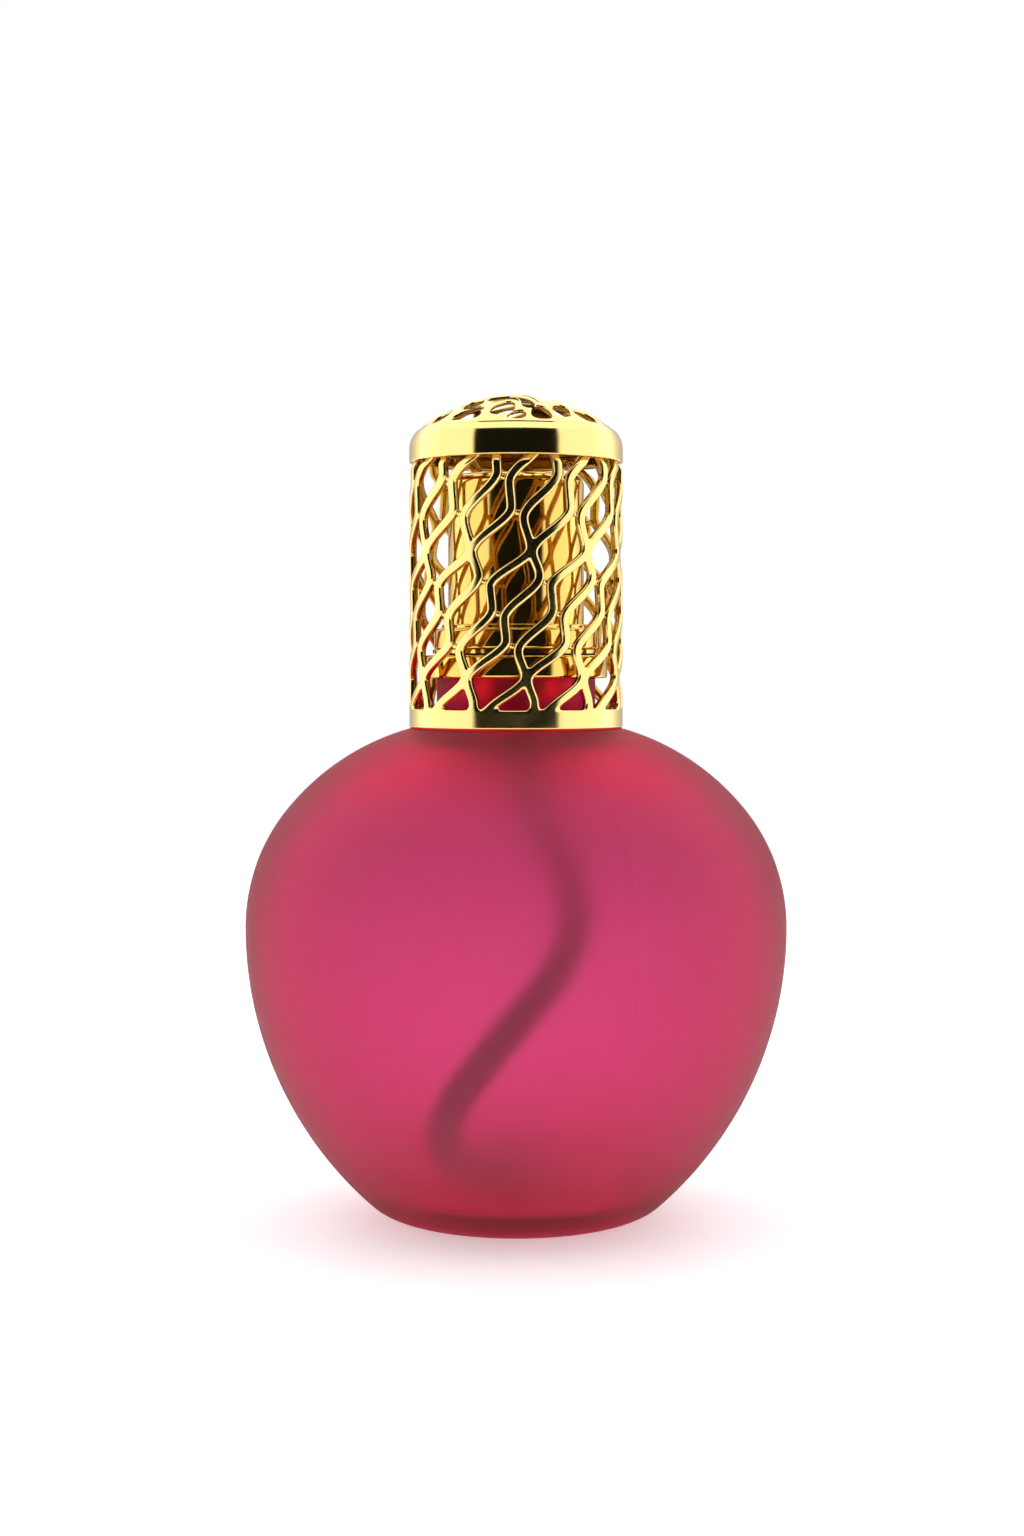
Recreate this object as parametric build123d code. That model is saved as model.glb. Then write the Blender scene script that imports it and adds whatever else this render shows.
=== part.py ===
from build123d import *
import os
from math import atan2, cos, degrees, pi, radians, sin, sqrt, tan

# Catalytic fragrance lamp: frosted glass bottle, burner with a cotton wick, snuffer cap and
# pierced crown. Millimetres, +Z up, the origin at the centre of the foot.

# ---------------------------------------------------------------- bottle
body_radius = 44.8          # widest radius of the glass
side_arc = 61.0             # radius of the long flank below the widest ring
side_turn = 48.0            # degrees that the flank turns inwards towards the foot
foot_arc = 8.0              # rounding between the flank and the foot
shoulder_arc = 30.5         # rounding above the widest ring
shoulder_turn = 39.0        # degrees of that rounding
crest_arc = 40.0            # flatter arc from the shoulder to the crown's seat
wall = 3.0                  # glass thickness
floor_height = 5.0          # thickness of the glass foot
floor_fillet = 4.0
push_up_radius = 14.5       # shallow hollow under the foot
push_up_depth = 1.2
seat_height = 80.0          # flat ring that carries the crown
spigot_radius = 16.3        # low step that centres the crown
spigot_top = 81.0
neck_radius = 13.2
neck_bore_radius = 10.0
neck_top = 91.0
neck_fillet = 1.2
neck_lip = 0.5              # rounding inside the neck's top edge

# ---------------------------------------------------------------- collar and gasket
collar_radius = 15.2
collar_bottom = 88.3
collar_top = 92.1
collar_edge = 0.5
bond_gap = 0.05             # clearance between the collar and the glass
gasket_inner = 10.4
gasket_outer = 13.2
gasket_top = 92.4

# ---------------------------------------------------------------- burner
flange_radius = 13.9
flange_top = 93.0
cup_radius = 9.7
cup_wall = 0.8
cup_bottom = 85.0
cup_floor = 0.8
stone_radius = 7.0
stone_clearance = 0.05
stone_top = 100.0
stone_foot_radius = 4.6
stone_foot_height = 2.4
stone_edge = 0.8
upstand_top = 95.6
upstand_wall = 0.8
core_radius = 4.0
core_bottom = 94.5
core_top = 100.6
core_edge = 0.5
wick_hole_radius = 3.3
clamp_radius = 3.7
clamp_bore_radius = 2.8
clamp_bottom = 82.0
clamp_groove = 0.4

# ---------------------------------------------------------------- snuffer
snuffer_radius = 11.3
snuffer_top = 122.0
snuffer_wall = 0.6
snuffer_foot = 94.5
snuffer_edge = 1.6
ring_radius = 13.65
ring_top = 96.5
ring_edge = 0.5
bead_radius = 12.4
bead_top = 97.2
liner_wall = 0.8
seal_inner = 11.5
seal_outer = 13.0
seal_height = 0.8

# ---------------------------------------------------------------- crown
base_band_radius = 17.85
base_band_top = 83.3
base_band_edge = 0.35
lattice_radius = 17.6
lattice_inner = 16.7
lattice_top = 124.1
rim_inner = 16.2
top_band_radius = 17.8
top_band_wall = 0.8
top_band_arc = 4.2
top_band_arc_height = 126.3
dome_opening = 16.5
dome_radius = 16.2
dome_apex = 135.3
dome_sphere = 25.5
dome_wall = 0.8
dome_foot = 128.0
retainer_inner = 14.4
retainer_outer = 16.5

# Lattice: leaning diamonds in rows, each row turned a little from the one above.
cells_round = 11
cell_rows = 9
row_step = 5.25
row_turn = 7.5              # degrees from a node to the next one down, on its right
lowest_node_height = 88.2   # lowest row of crossings, above the base band
lowest_node_turn = 5.4      # its place round the crown, in degrees from -Y towards +X
bar_width = 1.25
cell_fillet = 0.7
cell_cutter_reach = 2.2     # how far a cell's cutter goes each side of the wall

# Dome openings: leaves that swirl round the crest.
outer_leaves = 9
outer_leaf_ring = 12.2
outer_leaf_length = 7.4
outer_leaf_width = 2.6
outer_leaf_lean = 62.0
inner_leaves = 6
inner_leaf_ring = 6.4
inner_leaf_length = 5.0
inner_leaf_width = 1.9
inner_leaf_lean = 52.0
leaf_cutter_height = 12.0

# ---------------------------------------------------------------- wick
wick_radius = 2.75
wick_route = [
    (0.0, 0.0, 93.0),
    (0.0, 0.0, 71.5),
    (8.5, -14.0, 58.0),
    (9.8, -30.5, 47.0),
    (-3.5, -36.0, 32.5),
    (-12.0, -30.0, 20.5),
    (-10.5, -17.5, 9.8),
    (1.5, -5.0, 8.0),
]


on_base = (Align.CENTER, Align.CENTER, Align.MIN)


def turned(outline):
    """A solid of revolution about Z from closed edges drawn as (radius, height)."""
    return revolve(Plane.XZ * make_face(outline), Axis.Z)


def turned_polygon(points):
    return turned(Polyline(points, close=True))


def ring(inner, outer, bottom, top):
    return turned_polygon([(inner, bottom), (outer, bottom), (outer, top), (inner, top)])


def rim_edges(solid, radius, height):
    """Circular edges of a turned piece at one radius and height."""
    circles = solid.edges().filter_by(GeomType.CIRCLE)
    return [
        edge
        for edge in circles
        if abs(edge.radius - radius) < 0.02 and abs(edge.arc_center.Z - height) < 0.02
    ]


def bottle_centres():
    """Arc centres of the glass outline as (radius, height): flank, foot, shoulder and crest."""
    turn = radians(side_turn)
    lift = radians(shoulder_turn)
    widest = side_arc * sin(turn) + foot_arc * (1 - sin(turn))
    flank = (body_radius - side_arc, widest)
    foot = (flank[0] + (side_arc - foot_arc) * cos(turn), flank[1] - (side_arc - foot_arc) * sin(turn))
    shoulder = (body_radius - shoulder_arc, widest)
    crest_shift = shoulder_arc - crest_arc
    crest = (shoulder[0] + crest_shift * cos(lift), shoulder[1] + crest_shift * sin(lift))
    return flank, foot, shoulder, crest


def crest_radius_at(height):
    """Outer radius of the glass where its crest reaches a height."""
    crest = bottle_centres()[3]
    return crest[0] + sqrt(crest_arc**2 - (height - crest[1]) ** 2)


def bottle_half(inset, top_radius):
    """The glass outline from the foot up to top_radius, moved inwards by inset, closed on Z."""
    flank, foot, shoulder, crest = bottle_centres()
    crest_reach = crest_arc - inset
    top_height = crest[1] + sqrt(crest_reach**2 - (top_radius - crest[0]) ** 2)
    top_turn = degrees(atan2(top_height - crest[1], top_radius - crest[0]))
    foot_curve = CenterArc(foot, foot_arc - inset, -90, 90 - side_turn)
    flank_curve = CenterArc(flank, side_arc - inset, -side_turn, side_turn)
    shoulder_curve = CenterArc(shoulder, shoulder_arc - inset, 0, shoulder_turn)
    crest_curve = CenterArc(crest, crest_reach, shoulder_turn, top_turn - shoulder_turn)
    closing = Polyline(crest_curve @ 1, (0, top_height), (0, inset), foot_curve @ 0)
    return turned([foot_curve, flank_curve, shoulder_curve, crest_curve, closing])


def glass_bottle():
    body = bottle_half(0, crest_radius_at(seat_height))
    spigot = Pos(0, 0, seat_height) * Cylinder(spigot_radius, spigot_top - seat_height, align=on_base)
    neck = Pos(0, 0, seat_height) * Cylinder(neck_radius, neck_top - seat_height, align=on_base)
    body = body + spigot + neck
    body = fillet(rim_edges(body, neck_radius, spigot_top), neck_fillet)
    cavity = bottle_half(wall, neck_bore_radius) - Cylinder(body_radius, 2 * floor_height)
    cavity = fillet(cavity.edges().group_by(Axis.Z)[0], floor_fillet)
    bore = Pos(0, 0, floor_height + wall) * Cylinder(neck_bore_radius, neck_top, align=on_base)
    cavity = cavity + bore
    push_up = (push_up_radius**2 + push_up_depth**2) / (2 * push_up_depth)
    body = body - cavity - Pos(0, 0, push_up_depth - push_up) * Sphere(push_up)
    return fillet(rim_edges(body, neck_bore_radius, neck_top), neck_lip)


def neck_collar():
    collar = turned_polygon([
        (neck_radius + bond_gap, collar_bottom),
        (collar_radius, collar_bottom),
        (collar_radius, collar_top),
        (neck_bore_radius, collar_top),
        (neck_bore_radius, neck_top),
        (neck_radius + bond_gap, neck_top),
    ])
    edges = rim_edges(collar, collar_radius, collar_bottom) + rim_edges(collar, collar_radius, collar_top)
    return fillet(edges, collar_edge)


def neck_gasket():
    return ring(gasket_inner, gasket_outer, collar_top, gasket_top)


def burner_mount():
    socket = stone_radius + stone_clearance
    inner = cup_radius - cup_wall
    return turned_polygon([
        (wick_hole_radius, cup_bottom),
        (cup_radius, cup_bottom),
        (cup_radius, gasket_top),
        (flange_radius, gasket_top),
        (flange_radius, flange_top),
        (socket + upstand_wall, flange_top),
        (socket + upstand_wall, upstand_top),
        (socket, upstand_top),
        (socket, gasket_top),
        (inner, gasket_top - cup_wall),
        (inner, cup_bottom + cup_floor),
        (wick_hole_radius, cup_bottom + cup_floor),
    ])


def burner_stone():
    foot = cup_bottom + cup_floor
    stone = turned_polygon([
        (clamp_bore_radius, foot),
        (stone_foot_radius, foot),
        (stone_foot_radius, foot + stone_foot_height),
        (stone_radius, foot + stone_foot_height),
        (stone_radius, stone_top),
        (core_radius, stone_top),
        (core_radius, core_bottom),
        (0, core_bottom),
        (0, wick_route[0][2]),
        (clamp_bore_radius, wick_route[0][2]),
    ])
    return fillet(rim_edges(stone, stone_radius, stone_top), stone_edge)


def catalyst_core():
    core = Pos(0, 0, core_bottom) * Cylinder(core_radius, core_top - core_bottom, align=on_base)
    return fillet(rim_edges(core, core_radius, core_top), core_edge)


def wick_clamp():
    middle = (clamp_bottom + cup_bottom) / 2
    clamp = ring(clamp_bore_radius, clamp_radius, clamp_bottom, cup_bottom)
    depth = clamp_groove
    groove = ring(clamp_radius - depth, clamp_radius + depth, middle - depth, middle + depth)
    return clamp - groove


def snuffer_shell():
    outer = Pos(0, 0, snuffer_foot) * Cylinder(snuffer_radius, snuffer_top - snuffer_foot, align=on_base)
    outer = fillet(rim_edges(outer, snuffer_radius, snuffer_top), snuffer_edge)
    inner_top = snuffer_top - snuffer_wall
    inner_radius = snuffer_radius - snuffer_wall
    inner = Pos(0, 0, snuffer_foot) * Cylinder(inner_radius, inner_top - snuffer_foot, align=on_base)
    inner = fillet(rim_edges(inner, inner_radius, inner_top), snuffer_edge - snuffer_wall)
    return outer - inner


def snuffer_base_ring():
    lip = snuffer_radius - snuffer_wall
    body = turned_polygon([
        (lip, flange_top),
        (ring_radius, flange_top),
        (ring_radius, ring_top),
        (bead_radius, ring_top),
        (bead_radius, bead_top),
        (snuffer_radius, bead_top),
        (snuffer_radius, snuffer_foot),
        (lip, snuffer_foot),
    ])
    body = body - ring(seal_inner, seal_outer, flange_top, flange_top + seal_height)
    edges = rim_edges(body, ring_radius, flange_top) + rim_edges(body, ring_radius, ring_top)
    return fillet(edges, ring_edge)


def snuffer_liner():
    outer_radius = snuffer_radius - snuffer_wall
    top = snuffer_top - snuffer_wall
    outer = Pos(0, 0, snuffer_foot) * Cylinder(outer_radius, top - snuffer_foot, align=on_base)
    outer = fillet(rim_edges(outer, outer_radius, top), snuffer_edge - snuffer_wall)
    inner_height = top - liner_wall - snuffer_foot
    inner = Pos(0, 0, snuffer_foot) * Cylinder(outer_radius - liner_wall, inner_height, align=on_base)
    return outer - inner


def snuffer_seal():
    return ring(seal_inner, seal_outer, flange_top, flange_top + seal_height)


def diamond(centre_height):
    """One lattice opening in its own plane, kept between the two bands."""
    across = 2 * pi * lattice_radius / cells_round
    right = row_turn / 360 * 2 * pi * lattice_radius
    left = right - across
    corners = [(0, row_step), (right, 0), (right + left, -row_step), (left, 0)]
    middle = (right + left) / 2
    outline = make_face(Polyline([(x - middle, z) for x, z in corners], close=True))
    outline = Pos(0, centre_height) * offset(outline, -bar_width / 2)
    window_height = lattice_top - base_band_top
    window = Pos(0, base_band_top + window_height / 2) * Rectangle(2 * across, window_height)
    cell = outline & window
    return fillet(cell.vertices(), cell_fillet)


def lattice_cutters():
    """Every opening of the lattice, as short prisms that point outwards."""
    pitch = 360 / cells_round
    cutters = []
    for row in range(cell_rows):
        height = lowest_node_height + (row - 1) * row_step
        turn = lowest_node_turn + (1 - row) * row_turn - pitch / 2
        prism = extrude(Plane.XZ * diamond(height), cell_cutter_reach, both=True)
        prism = Pos(0, -lattice_radius, 0) * prism
        for cell in range(cells_round):
            cutters.append(Rot(0, 0, turn + cell * pitch) * prism)
    return cutters


def crown_sleeve():
    sleeve = turned_polygon([
        (lattice_inner, seat_height),
        (base_band_radius, seat_height),
        (base_band_radius, base_band_top),
        (lattice_radius, base_band_top),
        (lattice_radius, lattice_top),
        (top_band_radius - top_band_wall, lattice_top),
        (top_band_radius - top_band_wall, top_band_arc_height),
        (rim_inner, top_band_arc_height),
        (rim_inner, lattice_top),
        (lattice_inner, lattice_top),
    ])
    sleeve = fillet(rim_edges(sleeve, base_band_radius, seat_height), base_band_edge)
    return sleeve - lattice_cutters()


def crown_top_band():
    centre = (top_band_radius - top_band_arc, top_band_arc_height)
    inner_arc = top_band_arc - top_band_wall
    outer_top = (dome_opening, centre[1] + sqrt(top_band_arc**2 - (dome_opening - centre[0]) ** 2))
    inner_top = (dome_opening, centre[1] + sqrt(inner_arc**2 - (dome_opening - centre[0]) ** 2))
    outer_turn = degrees(atan2(outer_top[1] - centre[1], outer_top[0] - centre[0]))
    inner_turn = degrees(atan2(inner_top[1] - centre[1], inner_top[0] - centre[0]))
    return turned([
        Line((top_band_radius, lattice_top), (top_band_radius, centre[1])),
        CenterArc(centre, top_band_arc, 0, outer_turn),
        Line(outer_top, inner_top),
        CenterArc(centre, inner_arc, 0, inner_turn),
        Line((centre[0] + inner_arc, centre[1]), (centre[0] + inner_arc, lattice_top)),
        Line((centre[0] + inner_arc, lattice_top), (top_band_radius, lattice_top)),
    ])


def leaf(length, width):
    """A pointed leaf along X, made of two equal arcs."""
    upper = ThreePointArc((-length / 2, 0), (0, width / 2), (length / 2, 0))
    lower = ThreePointArc((length / 2, 0), (0, -width / 2), (-length / 2, 0))
    return make_face([upper, lower])


def dome_cutters():
    rings = [
        (outer_leaves, outer_leaf_ring, outer_leaf_length, outer_leaf_width, outer_leaf_lean),
        (inner_leaves, inner_leaf_ring, inner_leaf_length, inner_leaf_width, inner_leaf_lean),
    ]
    cutters = []
    for count, reach, length, width, lean in rings:
        prism = extrude(leaf(length, width), leaf_cutter_height)
        prism = Pos(reach, 0, dome_foot) * Rot(0, 0, lean) * prism
        for index in range(count):
            cutters.append(Rot(0, 0, 360 / count * index) * prism)
    return cutters


def crown_dome():
    inner_sphere = dome_sphere - dome_wall
    centre = (0, dome_apex - dome_sphere)
    skirt_inner = dome_radius - dome_wall
    outer_turn = degrees(atan2(sqrt(dome_sphere**2 - dome_radius**2), dome_radius))
    inner_turn = degrees(atan2(sqrt(inner_sphere**2 - skirt_inner**2), skirt_inner))
    outer_arc = CenterArc(centre, dome_sphere, outer_turn, 90 - outer_turn)
    inner_arc = CenterArc(centre, inner_sphere, inner_turn, 90 - inner_turn)
    dome = turned([
        outer_arc,
        Line(outer_arc @ 1, inner_arc @ 1),
        inner_arc,
        Polyline(
            inner_arc @ 0,
            (skirt_inner, dome_foot),
            (dome_radius, dome_foot),
            outer_arc @ 0,
        ),
    ])
    return dome - dome_cutters()


def dome_retainer():
    return ring(retainer_inner, retainer_outer, top_band_arc_height, dome_foot)


def wick_radii():
    """Bend radius at each inner point of the route: as large as its two runs allow."""
    points = [Vector(*point) for point in wick_route]
    radii = []
    for before, here, after in zip(points, points[1:], points[2:]):
        turn = radians((here - before).get_angle(after - here))
        shorter = min((here - before).length, (after - here).length)
        radii.append(0.45 * shorter / tan(turn / 2))
    return radii


def cotton_wick():
    radii = wick_radii()
    path = FilletPolyline(*wick_route, radius=radii)
    start = Plane(path @ 0, z_dir=path % 0)
    wick = sweep(start * Circle(wick_radius), path=path)
    section_times_length = pi * wick_radius**2 * path.length
    print("wick radii in diameters", [round(radius / (2 * wick_radius), 1) for radius in radii])
    print("wick length", round(path.length, 1), "volume", round(wick.volume), round(section_times_length))
    return wick


pieces = [
    glass_bottle,
    neck_collar,
    neck_gasket,
    burner_mount,
    burner_stone,
    catalyst_core,
    wick_clamp,
    cotton_wick,
    snuffer_shell,
    snuffer_base_ring,
    snuffer_liner,
    snuffer_seal,
    crown_sleeve,
    crown_top_band,
    crown_dome,
    dome_retainer,
]

os.makedirs("parts", exist_ok=True)
for piece in pieces:
    export_step(piece(), f"parts/{piece.__name__}.step")
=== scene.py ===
from math import asin, cos, degrees, pi, radians, sin, sqrt

import bpy
import numpy as np
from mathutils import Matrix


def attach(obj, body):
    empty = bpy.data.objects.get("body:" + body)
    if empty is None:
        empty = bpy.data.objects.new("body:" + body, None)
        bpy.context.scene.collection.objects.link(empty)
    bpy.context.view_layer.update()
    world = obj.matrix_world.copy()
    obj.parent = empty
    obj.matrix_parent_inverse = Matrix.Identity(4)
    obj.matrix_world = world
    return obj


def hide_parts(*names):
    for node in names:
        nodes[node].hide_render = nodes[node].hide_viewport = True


# Looks of the catalytic fragrance lamp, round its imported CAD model. Profiles and lattices are
# drawn in millimetres and scaled to metres when their mesh is made.
MM = 0.001
dome_sphere, dome_apex, dome_edge = 25.5, 135.3, 16.25

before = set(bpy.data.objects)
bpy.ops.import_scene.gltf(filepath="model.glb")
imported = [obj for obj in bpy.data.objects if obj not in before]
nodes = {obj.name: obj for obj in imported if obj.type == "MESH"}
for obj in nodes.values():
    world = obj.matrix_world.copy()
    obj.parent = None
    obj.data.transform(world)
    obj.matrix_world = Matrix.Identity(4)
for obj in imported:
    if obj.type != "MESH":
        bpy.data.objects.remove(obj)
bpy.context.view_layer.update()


# ---------------------------------------------------------------- meshes
def add_piece(name, points, faces, materials, body, replaced=(), sharp=35):
    """A smooth-shaded mesh in millimetres that rides on a CAD body."""
    mesh = bpy.data.meshes.new(name)
    mesh.from_pydata(np.asarray(points, float) * MM, [], [list(face) for face in faces])
    mesh.shade_smooth()
    mesh.set_sharp_from_angle(angle=radians(sharp))
    for material in materials:
        mesh.materials.append(material)
    piece = bpy.data.objects.new(name, mesh)
    bpy.context.scene.collection.objects.link(piece)
    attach(piece, body)
    if replaced:
        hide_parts(*replaced)
    return piece


def arc(centre, radius, start, end, steps):
    """Points (r, z) along a circular arc, with its angles in degrees."""
    turns = np.radians(np.linspace(start, end, steps + 1))
    return [(centre[0] + radius * cos(t), centre[1] + radius * sin(t)) for t in turns]


def rounded(corners, steps=6, guard=0.06):
    """Outline points from corners (r, z) or (r, z, rounding), with a guard point by each rounding."""
    points = []
    count = len(corners)
    for index, corner in enumerate(corners):
        here = np.array(corner[:2], float)
        if len(corner) < 3:
            points.append(tuple(here))
            continue
        back = np.array(corners[index - 1][:2], float) - here
        ahead = np.array(corners[(index + 1) % count][:2], float) - here
        back /= np.linalg.norm(back)
        ahead /= np.linalg.norm(ahead)
        half = np.arccos(np.clip(back @ ahead, -1, 1)) / 2
        reach = corner[2] / np.tan(half)
        middle = here + (back + ahead) / np.linalg.norm(back + ahead) * corner[2] / np.sin(half)
        points.append(tuple(here + back * (reach + guard)))
        for share in np.linspace(0, 1, steps + 1):
            chord = (here + back * reach) * (1 - share) + (here + ahead * reach) * share
            out = (chord - middle) / np.linalg.norm(chord - middle)
            points.append(tuple(middle + out * corner[2]))
        points.append(tuple(here + ahead * (reach + guard)))
    return points


def lathe(outline, columns, closed=True):
    """Points and quads of a turned surface. columns are angles in radians from -Y towards +X."""
    outline = np.array(outline, float)
    columns = np.asarray(columns, float)
    rows = len(outline)
    points = []
    for turn in columns:
        ring = np.stack([outline[:, 0] * sin(turn), -outline[:, 0] * cos(turn), outline[:, 1]], 1)
        points.append(ring)
    points = np.concatenate(points)
    faces = []
    spans = rows if closed else rows - 1
    for column in range(len(columns)):
        after = (column + 1) % len(columns)
        for row in range(spans):
            above = (row + 1) % rows
            here, there = column * rows, after * rows
            faces.append((here + row, there + row, there + above, here + above))
    if closed:
        return points, faces
    # the outline starts and ends on the axis, so each end becomes one shared point
    start, end = len(points), len(points) + 1
    points = np.concatenate([points, [[0, 0, outline[0, 1]], [0, 0, outline[-1, 1]]]])
    kept = []
    for number, face in enumerate(faces):
        row = number % spans
        if row == 0:
            kept.append((start, face[2], face[3]))
        elif row == spans - 1:
            kept.append((face[0], face[1], end))
        else:
            kept.append(face)
    used = sorted({index for face in kept for index in face})
    place = {index: new for new, index in enumerate(used)}
    return points[used], [tuple(place[index] for index in face) for face in kept]


def even_columns(count):
    return np.linspace(0, 2 * pi, count, endpoint=False)


def surface_net(field, copies=1):
    """Vertices in grid units and quads on the zero level of a sampled field, negative inside.
    With copies, the field is one period of a ring along its first axis."""
    period = field.shape[0]
    if copies > 1:
        field = np.concatenate([field, field[:1]], axis=0)
    inside = field < 0
    cells = np.array(field.shape) - 1
    total = np.zeros((*cells, 3))
    count = np.zeros(tuple(cells))
    for axis in range(3):
        others = [other for other in range(3) if other != axis]
        for first in (0, 1):
            for second in (0, 1):
                low = [slice(0, size) for size in cells]
                low[others[0]] = slice(first, first + cells[others[0]])
                low[others[1]] = slice(second, second + cells[others[1]])
                high = list(low)
                high[axis] = slice(1, cells[axis] + 1)
                here, there = field[tuple(low)], field[tuple(high)]
                crossing = (here < 0) != (there < 0)
                total[..., axis] += np.where(crossing, here / np.where(crossing, here - there, 1), 0)
                total[..., others[0]] += crossing * first
                total[..., others[1]] += crossing * second
                count += crossing
    found = np.argwhere(count > 0)
    number = np.full(tuple(cells), -1)
    number[tuple(found.T)] = np.arange(len(found))
    points = found + total[tuple(found.T)] / count[tuple(found.T)][:, None]
    quads, laps = [], []
    for axis in range(3):
        first, second = (axis + 1) % 3, (axis + 2) % 3
        low = [slice(None)] * 3
        high = [slice(None)] * 3
        low[axis] = slice(0, -1)
        high[axis] = slice(1, None)
        a, b = inside[tuple(low)], inside[tuple(high)]
        edges = np.argwhere(a != b)
        outward = a[tuple(edges.T)]
        keep = np.ones(len(edges), bool)
        for side in (first, second):
            lowest = 0 if copies > 1 and side == 0 else 1
            keep &= (edges[:, side] >= lowest) & (edges[:, side] < cells[side])
        edges, outward = edges[keep], outward[keep]
        ring_ids, ring_laps = [], []
        for back_first, back_second in ((1, 1), (0, 1), (0, 0), (1, 0)):
            cell = edges.copy()
            cell[:, first] -= back_first
            cell[:, second] -= back_second
            lap = np.where(cell[:, 0] < 0, -1, 0)
            cell[:, 0] = np.where(cell[:, 0] < 0, period - 1, cell[:, 0])
            ring_ids.append(number[tuple(cell.T)])
            ring_laps.append(lap)
        ids, lap = np.stack(ring_ids, 1), np.stack(ring_laps, 1)
        ids[~outward] = ids[~outward][:, ::-1]
        lap[~outward] = lap[~outward][:, ::-1]
        quads.append(ids)
        laps.append(lap)
    quads, laps = np.concatenate(quads), np.concatenate(laps)
    if copies == 1:
        return points, quads
    all_points, all_quads = [], []
    for copy in range(copies):
        all_points.append(points + [copy * period, 0, 0])
        all_quads.append(quads + (copy + laps) % copies * len(points))
    return np.concatenate(all_points), np.concatenate(all_quads)


def slab(distance, depth, half, rounding):
    """Field of a flat shape of that signed distance, cut at +-half in depth, with round edges."""
    a = distance + rounding
    b = np.abs(depth) - half + rounding
    return np.minimum(np.maximum(a, b), 0) + np.hypot(np.maximum(a, 0), np.maximum(b, 0)) - rounding


def blended(a, b, reach):
    """Union of two fields that melts over a short reach."""
    share = np.clip(0.5 + 0.5 * (b - a) / reach, 0, 1)
    return b * (1 - share) + a * share - reach * share * (1 - share)


def smooth_step(share):
    share = np.clip(share, 0, 1)
    return share * share * (3 - 2 * share)


# ---------------------------------------------------------------- materials
class Look:
    """A node material with one Principled shader and a few short helpers."""

    def __init__(self, name, color, roughness, metallic=0.0, **sockets):
        self.material = bpy.data.materials.new(name)
        self.material.use_nodes = True
        self.nodes = self.material.node_tree.nodes
        self.links = self.material.node_tree.links
        self.shader = self.nodes["Principled BSDF"]
        self.shader.inputs["Base Color"].default_value = (*color, 1)
        self.shader.inputs["Roughness"].default_value = roughness
        self.shader.inputs["Metallic"].default_value = metallic
        for socket, value in sockets.items():
            self.shader.inputs[socket.replace("_", " ")].default_value = value
        coordinates = self.nodes.new("ShaderNodeTexCoord")
        self.place = coordinates.outputs["Object"]
        self.normal = coordinates.outputs["Normal"]

    def noise(self, scale, detail=3.0, stretch=(1, 1, 1), rough=0.5):
        """Noise of that many features to the metre, on the object's own coordinates."""
        mapping = self.nodes.new("ShaderNodeMapping")
        mapping.inputs["Scale"].default_value = stretch
        texture = self.nodes.new("ShaderNodeTexNoise")
        texture.inputs["Scale"].default_value = scale
        texture.inputs["Detail"].default_value = detail
        texture.inputs["Roughness"].default_value = rough
        self.links.new(self.place, mapping.inputs["Vector"])
        self.links.new(mapping.outputs["Vector"], texture.inputs["Vector"])
        return texture.outputs["Fac"]

    def pores(self, scale):
        texture = self.nodes.new("ShaderNodeTexVoronoi")
        texture.inputs["Scale"].default_value = scale
        self.links.new(self.place, texture.inputs["Vector"])
        return texture.outputs["Distance"]

    def span(self, value, low, high, start=0.3, end=0.7):
        """value from start to end, spread over low to high."""
        node = self.nodes.new("ShaderNodeMapRange")
        for socket, number in zip(("From Min", "From Max", "To Min", "To Max"), (start, end, low, high)):
            node.inputs[socket].default_value = number
        self.links.new(value, node.inputs["Value"])
        return node.outputs["Result"]

    def tint(self, value, first, second, start=0.35, end=0.65):
        """Base colour from first to second as value goes from start to end. Returns the ramp's stops."""
        ramp = self.nodes.new("ShaderNodeValToRGB")
        ramp.color_ramp.elements[0].position = start
        ramp.color_ramp.elements[0].color = (*first, 1)
        ramp.color_ramp.elements[1].position = end
        ramp.color_ramp.elements[1].color = (*second, 1)
        self.links.new(value, ramp.inputs["Fac"])
        self.links.new(ramp.outputs["Color"], self.shader.inputs["Base Color"])
        return ramp.color_ramp.elements

    def outward(self, centre, upright):
        """How far the surface faces away from the axis, or from a centre on it: 1 outside, -1 inside."""
        value = self.place
        steps = (("SUBTRACT", (0, 0, centre)), ("MULTIPLY", (1, 1, upright)), ("NORMALIZE", None))
        for operation, other in steps:
            node = self.nodes.new("ShaderNodeVectorMath")
            node.operation = operation
            self.links.new(value, node.inputs[0])
            if other:
                node.inputs[1].default_value = other
            value = node.outputs["Vector"]
        dot = self.nodes.new("ShaderNodeVectorMath")
        dot.operation = "DOT_PRODUCT"
        self.links.new(value, dot.inputs[0])
        self.links.new(self.normal, dot.inputs[1])
        return dot.outputs["Value"]

    def added(self, first, second):
        node = self.nodes.new("ShaderNodeMath")
        self.links.new(first, node.inputs[0])
        self.links.new(second, node.inputs[1])
        return node.outputs[0]

    def roughness(self, value):
        self.links.new(value, self.shader.inputs["Roughness"])

    def bump(self, value, depth, strength=1.0):
        """Fine relief, depth in metres."""
        node = self.nodes.new("ShaderNodeBump")
        node.inputs["Strength"].default_value = strength
        node.inputs["Distance"].default_value = depth
        self.links.new(value, node.inputs["Height"])
        self.links.new(node.outputs["Normal"], self.shader.inputs["Normal"])


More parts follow.
